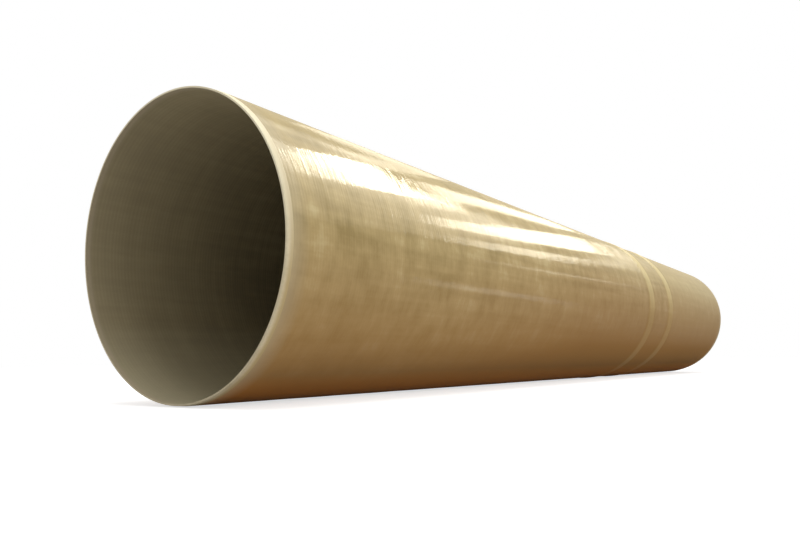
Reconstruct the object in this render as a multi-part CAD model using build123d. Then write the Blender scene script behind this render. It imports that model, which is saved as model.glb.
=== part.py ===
from build123d import *
import os

# Wound fiberglass pipe lying on its side, in millimetres.
# Its axis runs along X, its middle is at X = 0 and the floor is at Z = 0.

# Barrel
length = 6000.0
bore = 1000.0
wall = 8.0

# Bevel ground on the outside of each end, down to a thin rim
bevel_length = 26.0
rim = 6.0

# Broken edge around the mouth of the bore at each end
mouth_break = 1.0

# Reinforcing hoops wound over the barrel towards its far end
hoop_count = 2
last_hoop_to_end = 1885.0
hoop_spacing = 500.0
hoop_rise = 3.0
hoop_crown = 80.0
hoop_shoulder = 30.0

bore_radius = bore / 2
barrel_radius = bore_radius + wall
rim_radius = bore_radius + rim
crown_radius = barrel_radius + hoop_rise
near_end = -length / 2
far_end = length / 2
last_hoop = far_end - last_hoop_to_end
hoop_places = [last_hoop - hoop_spacing * n for n in reversed(range(hoop_count))]


def shoulder(start, end):
    # Two equal arcs, level at both ends, where the overlapped rovings thin out
    middle = ((start[0] + end[0]) / 2, (start[1] + end[1]) / 2)
    leaving = TangentArc(start, middle, tangent=(1, 0))
    arriving = TangentArc(middle, end, tangent=leaving % 1)
    return [leaving, arriving]


def hoop(place):
    foot = place - hoop_crown / 2 - hoop_shoulder
    rise_end = place - hoop_crown / 2
    fall_start = place + hoop_crown / 2
    heel = place + hoop_crown / 2 + hoop_shoulder
    rise = shoulder((foot, barrel_radius), (rise_end, crown_radius))
    crown = Line((rise_end, crown_radius), (fall_start, crown_radius))
    fall = shoulder((fall_start, crown_radius), (heel, barrel_radius))
    return [*rise, crown, *fall]


# Outside of the wall, from the near rim over the hoops to the far rim
bevel_start = (near_end + bevel_length, barrel_radius)
bevel_end = (far_end - bevel_length, barrel_radius)
outside = [Line((near_end, rim_radius), bevel_start)]
for place in hoop_places:
    wound = hoop(place)
    outside.append(Line(outside[-1] @ 1, wound[0] @ 0))
    outside.extend(wound)
outside.append(Line(outside[-1] @ 1, bevel_end))
outside.append(Line(bevel_end, (far_end, rim_radius)))

# Far rim, bore and near rim
inside = Polyline(
    (far_end, rim_radius),
    (far_end, bore_radius + mouth_break),
    (far_end - mouth_break, bore_radius),
    (near_end + mouth_break, bore_radius),
    (near_end, bore_radius + mouth_break),
    (near_end, rim_radius),
)

# The section is drawn with the axis along X and the radius along Y, then turned about X
section = make_face([*outside, inside])
pipe = revolve(section, axis=Axis.X, revolution_arc=360)
pipe = Pos(0, 0, crown_radius) * pipe

os.makedirs("parts", exist_ok=True)
export_step(pipe, "parts/pipe.step")
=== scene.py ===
import math
import random

import bpy
from mathutils import Matrix, Vector


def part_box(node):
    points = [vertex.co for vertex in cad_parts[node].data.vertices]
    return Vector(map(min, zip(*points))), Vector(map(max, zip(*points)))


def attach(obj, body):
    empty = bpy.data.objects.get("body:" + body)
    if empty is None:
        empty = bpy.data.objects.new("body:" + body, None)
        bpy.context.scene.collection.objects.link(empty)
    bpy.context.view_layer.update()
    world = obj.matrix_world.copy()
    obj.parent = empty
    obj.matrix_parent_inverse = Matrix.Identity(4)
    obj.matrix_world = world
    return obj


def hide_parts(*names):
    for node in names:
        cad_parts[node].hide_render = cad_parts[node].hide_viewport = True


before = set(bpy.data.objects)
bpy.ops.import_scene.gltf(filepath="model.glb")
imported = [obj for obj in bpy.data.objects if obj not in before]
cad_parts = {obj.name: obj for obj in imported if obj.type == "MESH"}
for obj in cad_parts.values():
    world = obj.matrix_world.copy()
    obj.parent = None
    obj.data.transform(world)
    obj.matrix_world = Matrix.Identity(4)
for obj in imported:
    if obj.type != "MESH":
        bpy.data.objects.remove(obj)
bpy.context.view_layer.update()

pipeLow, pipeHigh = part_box("pipe")
print("stage: frame loaded")


def linear(hexColour, alpha=1.0):
    # sRGB hex to the linear values that the sockets take
    parts = [int(hexColour[i:i + 2], 16) / 255 for i in (1, 3, 5)]
    return [p / 12.92 if p <= 0.04045 else ((p + 0.055) / 1.055) ** 2.4 for p in parts] + [alpha]


def addNode(tree, kind, settings=None, links=None):
    # A setting is a property of the node, or else the name or number of an input
    node = tree.nodes.new(kind)
    for key, value in (settings or {}).items():
        if isinstance(key, str) and key in node.bl_rna.properties:
            setattr(node, key, value)
        else:
            node.inputs[key].default_value = value
    for key, socket in (links or {}).items():
        tree.links.new(socket, node.inputs[key])
    return node


def newMaterial(name):
    made = bpy.data.materials.new(name)
    made.use_nodes = True
    made.node_tree.nodes.clear()
    return made, made.node_tree


def setStops(ramp, stops):
    # stops: (place from 0 to 1, sRGB hex)
    elements = ramp.color_ramp.elements
    elements[0].position, elements[0].color = stops[0][0], linear(stops[0][1])
    elements[1].position, elements[1].color = stops[-1][0], linear(stops[-1][1])
    for place, colour in stops[1:-1]:
        elements.new(place).color = linear(colour)


# The pipe, in metres: its length and height come from the frame, the rest are the real sizes
woundPipe = {
    "length": pipeHigh.x - pipeLow.x,
    "axisHeight": (pipeHigh.z + pipeLow.z) / 2,
    "bore": 1.000,
    "wall": 0.008,
    "rim": 0.006,
    "bevelLength": 0.026,
    "mouthBreak": 0.001,
    "sawnCorner": 0.0006,       # corners left by the saw, eased a little
    "cornerBow": 0.3,           # how far its middle is from either face, as a share of the corner
    "hoopPlaces": (0.615, 1.115),
    "hoopRise": 0.003,
    "hoopCrown": 0.080,
    "hoopShoulder": 0.030,
    "segments": 256,
    "outsideStep": 0.032,       # ring spacing along the barrel
    "boreStep": 0.060,
    "shoulderRings": 8,
    "crownRings": 3,
    "bevelRings": 3,
    "sharpOver": 25,            # degrees, above which an edge shows sharp
    # slow waves that the winding passes leave, sunk by a share of their height so that they
    # lie mostly within the real diameter
    "outsideWaves": {"seed": 11, "count": 9, "shortest": 0.13, "longest": 0.55,
                     "height": 0.00045, "sink": 0.6},
    "boreWaves": {"seed": 23, "count": 6, "shortest": 0.25, "longest": 0.90,
                  "height": 0.00015, "sink": 0.0},
    "waveTurns": (0, 0, 1, 1, 2, 3),    # times that a wave goes round the pipe, drawn from these
    "waveShares": (0.5, 1.0),           # how strong a wave is beside the others
    "plainEnd": 0.040,          # where the waves start, inwards from each rim
    "waveFade": 0.150,
    "waveOnHoops": 0.15,        # share of the waves that is left over the hoops
}
halfLength = woundPipe["length"] / 2
boreRadius = woundPipe["bore"] / 2
barrelRadius = boreRadius + woundPipe["wall"]
rimRadius = boreRadius + woundPipe["rim"]
bevelSlope = (barrelRadius - rimRadius) / woundPipe["bevelLength"]
hoopHalf = woundPipe["hoopCrown"] / 2 + woundPipe["hoopShoulder"]


def hoopStations(p, place):
    # A hoop's section: a soft shoulder, the crown and a soft shoulder
    crownRadius = barrelRadius + p["hoopRise"]
    foot, heel = place - hoopHalf, place + p["hoopCrown"] / 2
    rise, crown, fall = [], [], []
    for n in range(1, p["shoulderRings"] + 1):
        t = n / p["shoulderRings"]
        up = p["hoopRise"] * t * t * (3 - 2 * t)    # level at both ends
        rise.append((foot + p["hoopShoulder"] * t, barrelRadius + up))
        fall.append((heel + p["hoopShoulder"] * t, crownRadius - up))
    for n in range(1, p["crownRings"] + 1):
        crown.append((heel + p["hoopCrown"] * (n / p["crownRings"] - 1), crownRadius))
    return rise + crown + fall


def plainStations(p, start, end):
    count = max(1, round((end - start) / p["outsideStep"]))
    return [(start + (end - start) * n / count, barrelRadius) for n in range(1, count + 1)]


def bevelStations(p, end):
    # From the rim up the bevel, measured inwards from the end at x = end
    corner, bow = p["sawnCorner"], p["cornerBow"] * p["sawnCorner"]
    inwards = -math.copysign(1, end)
    made = [(end, rimRadius - corner)]
    made.append((end + bow * inwards, rimRadius - bow))
    made.append((end + corner * inwards, rimRadius + bevelSlope * corner))
    for n in range(1, p["bevelRings"] + 1):
        along = p["bevelLength"] * n / p["bevelRings"]
        made.append((end + along * inwards, rimRadius + bevelSlope * along))
    return made


def outsideStations(p):
    # (x, radius) from the near rim to the far rim
    stations = bevelStations(p, -halfLength)
    for place in p["hoopPlaces"]:
        stations += plainStations(p, stations[-1][0], place - hoopHalf)
        stations += hoopStations(p, place)
    farBevel = bevelStations(p, halfLength)[::-1]
    return stations + plainStations(p, stations[-1][0], farBevel[0][0]) + farBevel[1:]


def boreStations(p):
    # (x, radius) back from the far rim to the near one
    start, end = halfLength - p["mouthBreak"], -halfLength + p["mouthBreak"]
    mouthRadius = boreRadius + p["mouthBreak"]
    count = round((start - end) / p["boreStep"])
    inside = [(start + (end - start) * n / count, boreRadius) for n in range(count + 1)]
    return [(halfLength, mouthRadius)] + inside + [(-halfLength, mouthRadius)]


def slowWaves(p, w):
    # A few slow waves, each (waves per metre, waves round the pipe, phase, share)
    dice = random.Random(w["seed"])
    made = []
    for _ in range(w["count"]):
        perMetre = 1 / dice.uniform(w["shortest"], w["longest"])
        around = dice.choice(p["waveTurns"])
        phase = dice.uniform(0, math.tau)
        share = dice.uniform(*p["waveShares"])
        made.append((perMetre, around, phase, share))
    total = sum(wave[3] for wave in made)
    return [(perMetre, around, phase, share / total) for perMetre, around, phase, share in made]


def waveAt(made, x, angle):
    return sum(share * math.sin(math.tau * perMetre * x + around * angle + phase)
               for perMetre, around, phase, share in made)


def waveFade(p, x, onOutside):
    # The waves fade out towards both ends and over the hoops, so that rims and bevels stay true
    inwards = halfLength - abs(x) - p["plainEnd"]
    fade = min(1.0, max(0.0, inwards / p["waveFade"]))
    if onOutside and any(abs(x - place) < hoopHalf for place in p["hoopPlaces"]):
        fade *= p["waveOnHoops"]
    return fade


def ringPoints(p, stations, w, onOutside):
    # A ring of points round the axis for each station
    made = slowWaves(p, w)
    points = []
    for x, radius in stations:
        height = w["height"] * waveFade(p, x, onOutside)
        for s in range(p["segments"]):
            angle = math.tau * s / p["segments"]
            r = radius + height * (waveAt(made, x, angle) - w["sink"])
            points.append((x, -r * math.cos(angle), p["axisHeight"] + r * math.sin(angle)))
    return points


# Order of the finishes on the mesh
windingFinish, linerFinish, sawnFinish = 0, 1, 2


def ringFinish(p, stations, n, farRim):
    # The finish between ring n and the next. farRim is the last ring on the outside
    if n in (farRim, len(stations) - 1):
        return sawnFinish
    if n > farRim:
        return linerFinish
    toEnd = halfLength - max(abs(stations[n][0]), abs(stations[n + 1][0]))
    return sawnFinish if toEnd < p["bevelLength"] - p["sawnCorner"] else windingFinish


def buildPipe(p):
    outside, inside = outsideStations(p), boreStations(p)
    stations = outside + inside
    verts = ringPoints(p, outside, p["outsideWaves"], True)
    verts += ringPoints(p, inside, p["boreWaves"], False)
    faces, finish = [], []
    for n in range(len(stations)):
        a = n * p["segments"]
        b = (n + 1) % len(stations) * p["segments"]     # the last ring joins the first
        for s in range(p["segments"]):
            t = (s + 1) % p["segments"]
            faces.append((a + s, a + t, b + t, b + s))
        finish += [ringFinish(p, stations, n, len(outside) - 1)] * p["segments"]
    mesh = bpy.data.meshes.new("woundPipe")
    mesh.from_pydata(verts, [], faces)
    mesh.polygons.foreach_set("material_index", finish)
    mesh.update()
    mesh.shade_smooth()
    mesh.set_sharp_from_angle(angle=math.radians(p["sharpOver"]))
    made = bpy.data.objects.new("woundPipe", mesh)
    bpy.context.collection.objects.link(made)
    return made


pipe = buildPipe(woundPipe)
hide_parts("pipe")
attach(pipe, "root")
print("stage: pipe built,", len(pipe.data.polygons) * 2, "triangles")


def pipeCoordinates(tree):
    # Metres along the axis, and the two directions across it measured from the axis
    place = addNode(tree, "ShaderNodeTexCoord")
    centred = addNode(tree, "ShaderNodeVectorMath",
                      {"operation": "SUBTRACT", 1: (0, 0, woundPipe["axisHeight"])},
                      {0: place.outputs["Object"]})
    return centred.outputs["Vector"]


def fromMiddle(tree, across):
    # Distance along the pipe from its middle, towards either end
    split = addNode(tree, "ShaderNodeSeparateXYZ", {}, {0: across})
    away = addNode(tree, "ShaderNodeMath", {"operation": "ABSOLUTE"}, {0: split.outputs["X"]})
    return away.outputs[0]


def stretchedNoises(tree, across, noises):
    # noises: name: (patches a metre along the pipe, patches a metre across it, detail, roughness)
    made = {}
    for name, (perMetreAlong, perMetreAcross, detail, roughness) in noises.items():
        stretched = addNode(tree, "ShaderNodeMapping",
                            {"Scale": (perMetreAlong, perMetreAcross, perMetreAcross)},
                            {"Vector": across})
        noise = addNode(tree, "ShaderNodeTexNoise",
                        {"Scale": 1.0, "Detail": detail, "Roughness": roughness},
                        {"Vector": stretched.outputs[0]})
        made[name] = noise.outputs["Fac"]
    return made


def ringWaves(tree, across, r):
    # Even rings, one every pitch along the pipe, that wander a little. round makes them do so more
    # slowly round the pipe than along it. The texture repeats ten times in 3.14 units.
    squeezed = addNode(tree, "ShaderNodeMapping", {"Scale": (1, r["round"], r["round"])},
                       {"Vector": across})
    rings = addNode(tree, "ShaderNodeTexWave",
                    {"wave_type": "BANDS", "bands_direction": "X",
                     "Scale": math.pi / 10 / r["pitch"], "Distortion": r["wander"],
                     "Detail": r["detail"], "Detail Scale": r["detailScale"]},
                    {"Vector": squeezed.outputs[0]})
    return rings.outputs["Fac"]


def weighted(tree, patterns, shares):
    # Sum of the named patterns, each times its share
    total = None
    for name, share in shares.items():
        links = {0: patterns[name]}
        settings = {"operation": "MULTIPLY", 1: share}
        if total is not None:
            settings["operation"] = "MULTIPLY_ADD"
            links[2] = total
        total = addNode(tree, "ShaderNodeMath", settings, links).outputs[0]
    return total


def layOver(tree, under, layer, place, times=None):
    # Lays a colour over another. place tells how far along or how high, from and to are where the
    # layer starts and where it has its full share, and times is a second mask
    amount = addNode(tree, "ShaderNodeMapRange",
                     {"interpolation_type": layer.get("bend", "LINEAR"),
                      "From Min": layer["from"], "From Max": layer["to"],
                      "To Min": layer.get("least", 0.0), "To Max": layer["share"]},
                     {"Value": place})
    if times is not None:
        amount = addNode(tree, "ShaderNodeMath", {"operation": "MULTIPLY"},
                         {0: times, 1: amount.outputs[0]})
    mixed = addNode(tree, "ShaderNodeMix", {"data_type": "RGBA", 7: linear(layer["colour"])},
                    {0: amount.outputs[0], 6: under})
    return mixed.outputs[2]


rovingPitch = 0.013     # the winding lines
noisePerPitch = 0.6     # gives about one streak a pitch
shadeRise = 0.18        # how much higher the painted shade below reaches away from the near end

wetWinding = {
    # Filament-wound E-glass in polyester under a clear flow coat: a wet gloss over khaki,
    # with roving streaks running round the pipe
    "stops": ((0.39, "#978356"), (0.47, "#A69163"), (0.54, "#B19B6C"), (0.62, "#C0AD80")),
    "noises": {
        "rovings": (noisePerPitch / rovingPitch, 8.0, 2.0, 0.5),
        "passes": (9, 1.4, 3.0, 0.5),       # winding passes, about 110 mm wide
        "runs": (1.1, 22, 3.0, 0.5),        # resin drawn out along the pipe, about 45 mm apart
        "mottle": (12, 9, 5.0, 0.6),        # resin thick and thin, in patches of about 90 mm
    },
    "rings": {"pitch": rovingPitch, "wander": 7.0, "round": 0.12, "detail": 2.0, "detailScale": 0.35},
    "tone": {"rovings": 0.10, "passes": 0.16, "runs": 0.30, "mottle": 0.42, "rings": 0.02},
    # the barrel beyond the last hoop was wound again, smoother and more even
    "rewound": {"colour": "#B7A171", "from": 1.15, "to": 1.25, "share": 0.55, "bend": "SMOOTHSTEP"},
    # heights from the axis: painted light makes the top paler, and painted shade with a painted warm
    # bounce makes it browner below
    "paintedLight": {"colour": "#C2B386", "from": 0.05, "to": 0.50, "share": 0.5},
    "paintedShadeBelow": {"colour": "#9F7747", "from": 0.05, "to": -0.47, "share": 1.0},
    "shadeReach": {"from": -2.2, "to": -0.4, "rise": shadeRise},        # along the pipe
    # painted shade: darker brown low down, most of it where the painted shade below reaches highest
    "paintedShadeLow": {"colour": "#6E5028", "from": 0.05, "to": -0.47, "share": 0.32 / shadeRise},
    # painted warm bounce light: orange along the very bottom
    "paintedWarmBounce": {"colour": "#C0823F", "from": -0.41, "to": -0.475, "share": 1.0},
    # from grinding the bevels, next to them
    "grindingDust": {"colour": "#BCAF92", "from": halfLength - 0.100,
                     "to": halfLength - woundPipe["bevelLength"], "share": 0.42},
    # hoops are rich in resin and paler, and a painted highlight makes them paler still towards the top.
    # They stand proud, so they are rubbed and lose their gloss. full and none are distances from a
    # hoop's middle
    "hoops": {"colour": "#E4D4A6", "from": -0.05, "to": 0.40, "least": 0.12, "share": 0.8},
    "hoopPaint": {"full": 0.038, "none": 0.078},
    "hoopRub": {"full": 0.055, "none": 0.085},
    "rubbedShare": 0.85,
    # relief: height in metres, and what it follows
    "reliefs": (
        (0.00055, {"rings": 0.15, "rovings": 2.0}),     # rovings under the coat
        (0.0010, {"passes": 1.0}),
        (0.00030, {"mottle": 1.0, "runs": 0.5}),        # slow ripple where the resin is thick
    ),
    # the coat is worn thin by weather on top and dulled by dirt beneath
    "coat": {"from": -0.30, "to": 0.22, "under": 0.015, "over": 0.22},
    "coatRoughness": 0.09,
    "coatIor": 1.56,
    "roughness": 0.6,
    "ior": 1.5,
    "specular": 0.0,        # the gloss is all in the coat
}


def hoopMask(tree, along, reach):
    # 1 near the middle of each hoop, 0 away from the hoops
    total = None
    for place in woundPipe["hoopPlaces"]:
        away = addNode(tree, "ShaderNodeMath", {"operation": "SUBTRACT", 1: place}, {0: along})
        gap = addNode(tree, "ShaderNodeMath", {"operation": "ABSOLUTE"}, {0: away.outputs[0]})
        mask = addNode(tree, "ShaderNodeMapRange",
                       {"interpolation_type": "SMOOTHSTEP",
                        "From Min": reach["none"], "From Max": reach["full"]},
                       {"Value": gap.outputs[0]})
        links = {0: mask.outputs[0]}
        if total is not None:
            links[1] = total
        total = addNode(tree, "ShaderNodeMath", {"operation": "MAXIMUM", 1: 0.0}, links).outputs[0]
    return total


def windingColour(tree, m, across, patterns):
    split = addNode(tree, "ShaderNodeSeparateXYZ", {}, {0: across})
    along, height = split.outputs["X"], split.outputs["Z"]
    ramp = addNode(tree, "ShaderNodeValToRGB", {}, {"Fac": weighted(tree, patterns, m["tone"])})
    setStops(ramp, m["stops"])
    colour = layOver(tree, ramp.outputs["Color"], m["rewound"], along)
    # painted light: paler towards the top
    colour = layOver(tree, colour, m["paintedLight"], height)
    # painted shade with a painted warm bounce: browner below, reaching higher away from the near end
    reach = addNode(tree, "ShaderNodeMapRange",
                    {"From Min": m["shadeReach"]["from"], "From Max": m["shadeReach"]["to"],
                     "To Max": m["shadeReach"]["rise"]}, {"Value": along})
    lowered = addNode(tree, "ShaderNodeMath", {"operation": "SUBTRACT"},
                      {0: height, 1: reach.outputs[0]})
    colour = layOver(tree, colour, m["paintedShadeBelow"], lowered.outputs[0])
    # painted shade: darker brown low down
    colour = layOver(tree, colour, m["paintedShadeLow"], lowered.outputs[0], reach.outputs[0])
    # painted warm bounce light along the very bottom
    colour = layOver(tree, colour, m["paintedWarmBounce"], height)
    colour = layOver(tree, colour, m["grindingDust"], fromMiddle(tree, across))
    # pale hoops, with a painted highlight that grows towards the top
    return layOver(tree, colour, m["hoops"], height, hoopMask(tree, along, m["hoopPaint"]))


def coatWeight(tree, m, across):
    # More coat on top than beneath, and little of it where the hoops are rubbed
    split = addNode(tree, "ShaderNodeSeparateXYZ", {}, {0: across})
    coat = addNode(tree, "ShaderNodeMapRange",
                   {"From Min": m["coat"]["from"], "From Max": m["coat"]["to"],
                    "To Min": m["coat"]["under"], "To Max": m["coat"]["over"]},
                   {"Value": split.outputs["Z"]})
    rubbed = hoopMask(tree, split.outputs["X"], m["hoopRub"])
    worn = addNode(tree, "ShaderNodeMath", {"operation": "MULTIPLY", 1: -m["rubbedShare"]}, {0: rubbed})
    left = addNode(tree, "ShaderNodeMath", {"operation": "MULTIPLY_ADD"},
                   {0: worn.outputs[0], 1: coat.outputs[0], 2: coat.outputs[0]})
    return left.outputs[0]


def wetWindingMaterial(m):
    made, tree = newMaterial("woundGlassPolyester")
    across = pipeCoordinates(tree)
    patterns = stretchedNoises(tree, across, m["noises"])
    patterns["rings"] = ringWaves(tree, across, m["rings"])
    normal = None
    for depth, shares in m["reliefs"]:
        links = {"Height": weighted(tree, patterns, shares)}
        if normal is not None:
            links["Normal"] = normal
        normal = addNode(tree, "ShaderNodeBump", {"Strength": 1.0, "Distance": depth}, links).outputs[0]
    skin = addNode(tree, "ShaderNodeBsdfPrincipled",
                   {"Roughness": m["roughness"], "IOR": m["ior"], "Specular IOR Level": m["specular"],
                    "Coat Roughness": m["coatRoughness"], "Coat IOR": m["coatIor"]},
                   {"Base Color": windingColour(tree, m, across, patterns), "Normal": normal,
                    "Coat Normal": normal, "Coat Weight": coatWeight(tree, m, across)})
    addNode(tree, "ShaderNodeOutputMaterial", {}, {"Surface": skin.outputs[0]})
    return made


def mattSurface(tree, m, colour, tone):
    # The surface of the other two finishes, with a relief that follows the tone
    relief = addNode(tree, "ShaderNodeBump", {"Strength": 1.0, "Distance": m["relief"]},
                     {"Height": tone})
    skin = addNode(tree, "ShaderNodeBsdfPrincipled",
                   {"Roughness": m["roughness"], "IOR": m["ior"], "Specular IOR Level": m["specular"]},
                   {"Base Color": colour, "Normal": relief.outputs[0]})
    addNode(tree, "ShaderNodeOutputMaterial", {}, {"Surface": skin.outputs[0]})


filmPitch = 0.014       # rings of the film that was wrapped on the mandrel

boreLiner = {
    # Chopped-strand liner in vinyl ester, cast against the mandrel: dull olive brown, with
    # the rings of the mandrel's film wrap and the lines of the veil's overlaps across them
    "stops": ((0.38, "#746A52"), (0.50, "#83785B"), (0.62, "#938768")),
    "noises": {
        "wrap": (noisePerPitch / filmPitch, 2.0, 3.0, 0.5),
        "overlaps": (1.6, 34, 3.0, 0.5),    # about 30 mm apart
        "cloud": (5, 5, 4.0, 0.55),         # patches of about 200 mm
    },
    "rings": {"pitch": filmPitch, "wander": 2.5, "round": 0.12, "detail": 2.0, "detailScale": 0.35},
    "tone": {"rings": 0.10, "wrap": 0.24, "overlaps": 0.30, "cloud": 0.36},
    # painted light makes it paler for 1.3 m in from each end, it is paler along the bottom, and the
    # mouth was sanded dull where the end was trimmed
    "paintedLight": {"colour": "#B8A987", "from": halfLength - 1.3, "to": halfLength,
                 "share": 0.5, "bend": "SMOOTHSTEP"},
    "paleAlongBottom": {"colour": "#CDC6A8", "from": -0.20, "to": -0.47, "share": 0.4},
    "sanded": {"colour": "#C0B097", "from": halfLength - 0.0288, "to": halfLength - 0.0108,
               "share": 0.45, "bend": "SMOOTHSTEP"},
    "relief": 0.00020,
    "roughness": 0.55,
    "ior": 1.5,
    "specular": 0.2,
}


def boreLinerMaterial(m):
    made, tree = newMaterial("mandrelLiner")
    across = pipeCoordinates(tree)
    split = addNode(tree, "ShaderNodeSeparateXYZ", {}, {0: across})
    toEnd = fromMiddle(tree, across)
    patterns = stretchedNoises(tree, across, m["noises"])
    patterns["rings"] = ringWaves(tree, across, m["rings"])
    tone = weighted(tree, patterns, m["tone"])
    ramp = addNode(tree, "ShaderNodeValToRGB", {}, {"Fac": tone})
    setStops(ramp, m["stops"])
    # painted light: paler near the ends
    colour = layOver(tree, ramp.outputs["Color"], m["paintedLight"], toEnd)
    # paler along the bottom
    colour = layOver(tree, colour, m["paleAlongBottom"], split.outputs["Z"])
    colour = layOver(tree, colour, m["sanded"], toEnd)
    mattSurface(tree, m, colour, tone)
    return made


sawnEdge = {
    # Laminate cut by a diamond saw and bevelled with a grinding disc: dry, pale and matt,
    # with the plies of the wall showing as rings
    "stops": ((0.36, "#B9AC8B"), (0.52, "#CCBE9F"), (0.66, "#DED1B2")),
    "plyPitch": 0.0006,
    "noisePerPly": 0.5,
    "plyDetail": 2.0,
    "noises": {
        # scratches of the disc, in patches of 12 mm and down to 0.4 mm, coarser than they are
        "scratches": (1 / 0.012, 1 / 0.012, 5.0, 0.65),
        "smudges": (6, 14, 3.0, 0.5),
    },
    "tone": {"plies": 0.36, "scratches": 0.28, "smudges": 0.36},
    # the resin coat thins out down the bevel, and painted light makes the upper half paler
    "feather": {"colour": "#B39B6C", "from": halfLength - 0.1 * woundPipe["bevelLength"],
                "to": halfLength - 0.8 * woundPipe["bevelLength"], "share": 0.9},
    "paintedLight": {"colour": "#F3EACB", "from": -0.15, "to": 0.30, "share": 0.65},
    "relief": 0.00012,
    "roughness": 0.8,
    "ior": 1.5,
    "specular": 0.2,
}


def sawnEdgeMaterial(m):
    made, tree = newMaterial("sawnLaminate")
    across = pipeCoordinates(tree)
    split = addNode(tree, "ShaderNodeSeparateXYZ", {}, {0: across})
    flat = addNode(tree, "ShaderNodeVectorMath", {"operation": "MULTIPLY", 1: (0, 1, 1)}, {0: across})
    radius = addNode(tree, "ShaderNodeVectorMath", {"operation": "LENGTH"}, {0: flat.outputs["Vector"]})
    plies = addNode(tree, "ShaderNodeTexNoise",
                    {"noise_dimensions": "1D", "Scale": m["noisePerPly"] / m["plyPitch"],
                     "Detail": m["plyDetail"]}, {"W": radius.outputs["Value"]})
    patterns = stretchedNoises(tree, across, m["noises"])
    patterns["plies"] = plies.outputs["Fac"]
    tone = weighted(tree, patterns, m["tone"])
    ramp = addNode(tree, "ShaderNodeValToRGB", {}, {"Fac": tone})
    setStops(ramp, m["stops"])
    colour = layOver(tree, ramp.outputs["Color"], m["feather"], fromMiddle(tree, across))
    # painted light: paler upper half
    colour = layOver(tree, colour, m["paintedLight"], split.outputs["Z"])
    mattSurface(tree, m, colour, tone)
    return made


# In the order of the finishes on the mesh
pipe.data.materials.append(wetWindingMaterial(wetWinding))
pipe.data.materials.append(boreLinerMaterial(boreLiner))
pipe.data.materials.append(sawnEdgeMaterial(sawnEdge))
print("stage: finishes made")


studio = {
    "floorReach": 60.0,
    "floorColour": "#D0D0D0",
    "floorGlow": 0.66,          # with the world's light on the floor colour, this comes to white
    "worldLight": 0.60,
    "shownWhite": 1.0,          # strength of the world where it is seen
}
white = (1, 1, 1, 1)


def shownRays(tree):
    # 1 for the rays that show the background: seen direct, in gloss or through glass
    rays = addNode(tree, "ShaderNodeLightPath")
    direct = addNode(tree, "ShaderNodeMath", {"operation": "MAXIMUM"},
                     {0: rays.outputs["Is Camera Ray"], 1: rays.outputs["Is Glossy Ray"]})
    both = addNode(tree, "ShaderNodeMath", {"operation": "MAXIMUM"},
                   {0: direct.outputs[0], 1: rays.outputs["Is Transmission Ray"]})
    return both.outputs[0]


def buildFloor(s):
    r = s["floorReach"]
    mesh = bpy.data.meshes.new("floor")
    mesh.from_pydata([(-r, -r, 0), (r, -r, 0), (r, r, 0), (-r, r, 0)], [], [(0, 1, 2, 3)])
    floor = bpy.data.objects.new("floor", mesh)
    bpy.context.collection.objects.link(floor)
    made, tree = newMaterial("paleFloor")
    strength = addNode(tree, "ShaderNodeMath", {"operation": "MULTIPLY", 1: s["floorGlow"]},
                       {0: shownRays(tree)})
    glow = addNode(tree, "ShaderNodeEmission", {"Color": white}, {"Strength": strength.outputs[0]})
    matt = addNode(tree, "ShaderNodeBsdfDiffuse", {"Color": linear(s["floorColour"])})
    both = addNode(tree, "ShaderNodeAddShader", {}, {0: glow.outputs[0], 1: matt.outputs[0]})
    addNode(tree, "ShaderNodeOutputMaterial", {}, {"Surface": both.outputs[0]})
    mesh.materials.append(made)


def buildWorld(s):
    world = bpy.data.worlds.new("studio")
    bpy.context.scene.world = world
    world.use_nodes = True
    tree = world.node_tree
    tree.nodes.clear()
    soft = addNode(tree, "ShaderNodeBackground", {"Color": white, "Strength": s["worldLight"]})
    shown = addNode(tree, "ShaderNodeBackground", {"Color": white, "Strength": s["shownWhite"]})
    mix = addNode(tree, "ShaderNodeMixShader", {},
                  {0: shownRays(tree), 1: soft.outputs[0], 2: shown.outputs[0]})
    addNode(tree, "ShaderNodeOutputWorld", {}, {"Surface": mix.outputs[0]})


# Soft boxes that light the pipe: place, point aimed at, width, height, radiance
softBoxes = {
    "overhead": ((0.0, -0.5, 7.0), (0.0, 0.0, 0.5), 10.0, 6.0, 2.2),
    "side": ((-1.7, -7.0, 3.2), (-0.5, 0.0, 0.5), 6.0, 3.0, 2.35),
}

# Level strips of light overhead that only the gloss shows, which draw the long bright
# reflections: start and end of the strip's middle line, width, radiance
stripHeight = 5.0
stripTint = "#FFF7E2"       # warm daylight
glossStrips = {
    "dappledStart": ((1.49, -1.82), (2.09, -1.37), 1.7, 16.0),
    "broadStrip": ((2.044, -1.309), (3.15, -0.48), 2.3, 46.0),
    "topHaze": ((3.0, 2.4), (6.4, 5.05), 2.4, 4.0),
    "topStart": ((2.1, 0.85), (3.6, 1.45), 0.9, 6.5),
    "crossStrip": ((4.3, -1.9), (4.35, 0.1), 0.8, 14.0),
    "topStrip": ((3.8, 0.15), (11.1, 3.0), 1.1, 12.0),
    "longStripStart": ((5.7, -3.38), (7.1, -2.3), 1.5, 20.0),
    "longStrip": ((7.0, -2.25), (10.1, 0.1), 2.0, 22.0),
    "endStrip": ((12.4, -2.6), (12.5, 2.2), 1.2, 6.5),
    "lowerStrip": ((8.7, -5.5), (11.5, -3.4), 2.0, 16.0),
    "lowerEnd": ((16.6, -9.1), (19.9, -6.6), 1.4, 6.5),
}

# A haze round the nearest strip, brightest where it faces the pipe
glossHaze = {"place": (3.6, -4.2, 5.6), "aim": (-1.6, -3.55, 0.95), "width": 7.0, "height": 5.0,
             "radiance": 1.9, "tint": stripTint}
hazeSpread = 80             # degrees

# A low upright strip beside the far half, for the thin bright line on the pipe's flank
flankLine = {"place": (2.0, -2.4, 0.20), "aim": (2.0, 0.0, 0.20), "width": 2.8, "height": 0.22,
             "radiance": 4.2, "tint": "#FFFFFF"}


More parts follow.
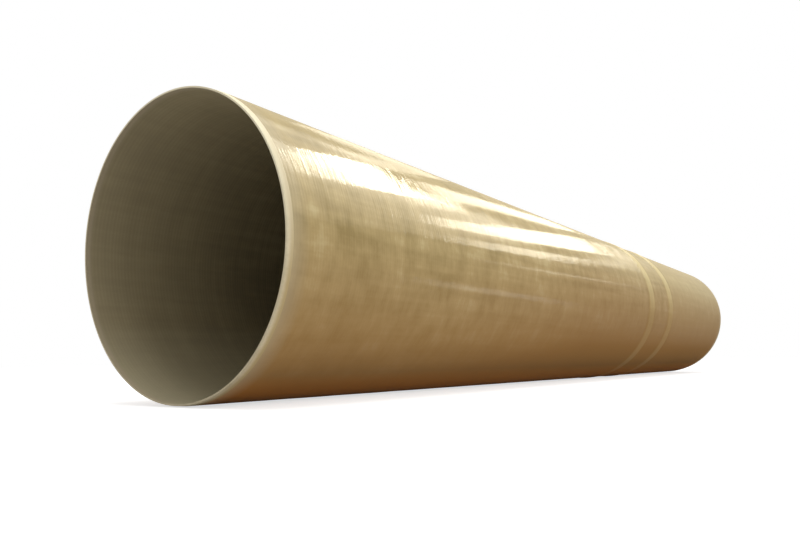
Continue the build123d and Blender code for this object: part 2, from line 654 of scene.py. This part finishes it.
def addLamp(name, place, aim, width, height, radiance):
    lamp = bpy.data.lights.new(name, "AREA")
    lamp.shape = "RECTANGLE"
    lamp.size, lamp.size_y = width, height
    lamp.energy = radiance * math.pi * width * height    # watts that give this radiance
    made = bpy.data.objects.new(name, lamp)
    made.location = place
    made.rotation_euler = (Vector(aim) - Vector(place)).to_track_quat("-Z", "Y").to_euler()
    made.visible_camera = False
    bpy.context.collection.objects.link(made)
    return made


def addGlossLamp(name, place, aim, width, height, radiance, tint):
    made = addLamp(name, place, aim, width, height, radiance)
    made.data.color = linear(tint)[:3]
    made.visible_diffuse = False
    return made


def buildLights():
    for name, (place, aim, width, height, radiance) in softBoxes.items():
        addLamp(name, place, aim, width, height, radiance)
    for name, (start, end, width, radiance) in glossStrips.items():
        x, y = (start[0] + end[0]) / 2, (start[1] + end[1]) / 2
        run = Vector(end) - Vector(start)
        place, below = (x, y, stripHeight), (x, y, 0)
        strip = addGlossLamp(name, place, below, run.length, width, radiance, stripTint)
        strip.rotation_euler = (0, 0, math.atan2(run.y, run.x))
    haze = addGlossLamp("glossHaze", **glossHaze)
    haze.data.spread = math.radians(hazeSpread)
    addGlossLamp("flankLine", **flankLine)


buildFloor(studio)
buildWorld(studio)
buildLights()
print("stage: studio built")


viewpoint = {
    "location": (-4.424, -1.893, 0.1409),
    "lookAlong": (0.8167, 0.5767, -0.0179),
    "roll": -0.72,              # degrees
    "lens": 31.5,               # millimetres, as is the sensor's width
    "sensorWidth": 36.0,
    "shiftUp": 0.134,
    "sightLimit": 500.0,        # metres, well past the floor's edge
}


def buildCamera(v):
    eye = bpy.data.cameras.new("camera")
    eye.lens = v["lens"]
    eye.sensor_width = v["sensorWidth"]
    eye.shift_y = v["shiftUp"]
    eye.clip_end = v["sightLimit"]
    made = bpy.data.objects.new("camera", eye)
    made.location = v["location"]
    turn = Vector(v["lookAlong"]).to_track_quat("-Z", "Y").to_matrix()
    made.rotation_euler = (turn @ Matrix.Rotation(math.radians(v["roll"]), 3, "Z")).to_euler()
    bpy.context.collection.objects.link(made)
    bpy.context.scene.camera = made


buildCamera(viewpoint)
bpy.context.scene.view_settings.view_transform = "Standard"
print("stage: camera placed")
